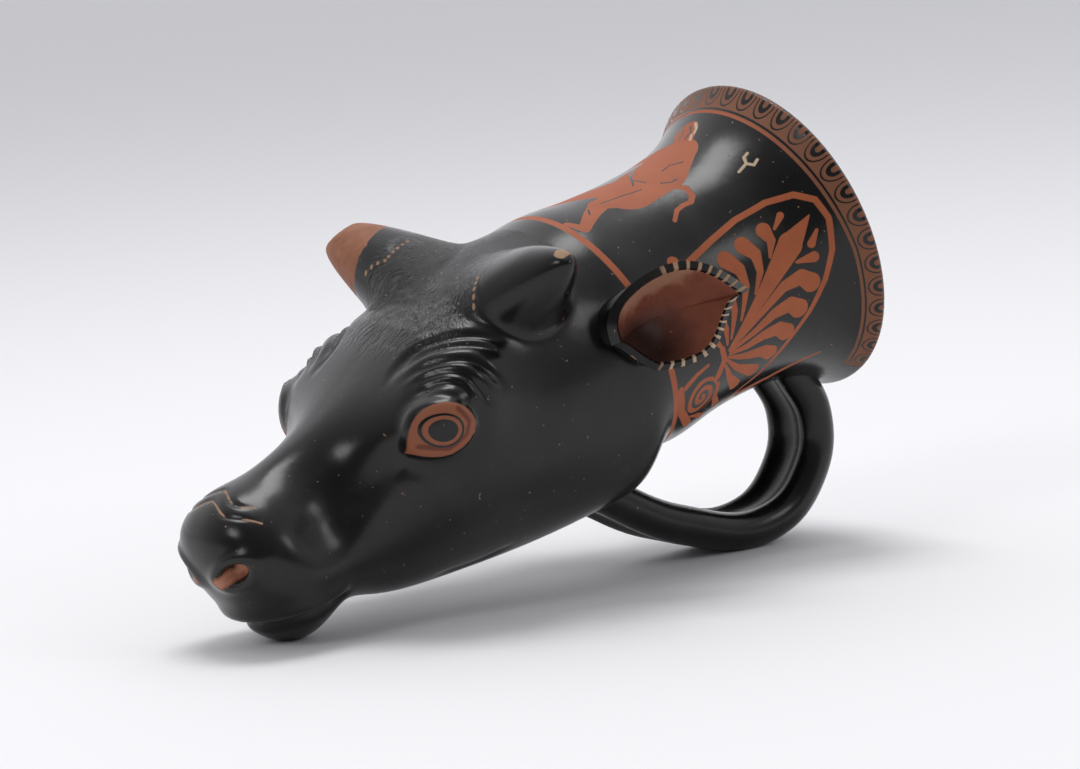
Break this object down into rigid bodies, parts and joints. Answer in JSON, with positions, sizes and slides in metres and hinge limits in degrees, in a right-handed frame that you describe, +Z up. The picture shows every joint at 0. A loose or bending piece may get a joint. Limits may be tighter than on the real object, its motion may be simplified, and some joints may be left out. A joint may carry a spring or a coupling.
{
  "type": "rhyton",
  "caption": "Hollow fired clay drinking vessel in the shape of a bull's head, with a flared cup behind the ears and a strap handle looped under it.",
  "frame": {"origin": "on the table under the middle of the vessel's bounding box", "axes": "+X from the muzzle towards the mouth of the cup, +Z up as the vessel lies on its lower lip and handle, +Y towards the side with the broken horn"},
  "size_m": [0.2006, 0.106, 0.1246],
  "materials": {
    "black_glaze": "satin black gloss over terracotta clay, with painted terracotta ornament"
  },
  "bodies": {
    "root": {"rhyton": "black_glaze"}
  },
  "joints": []
}
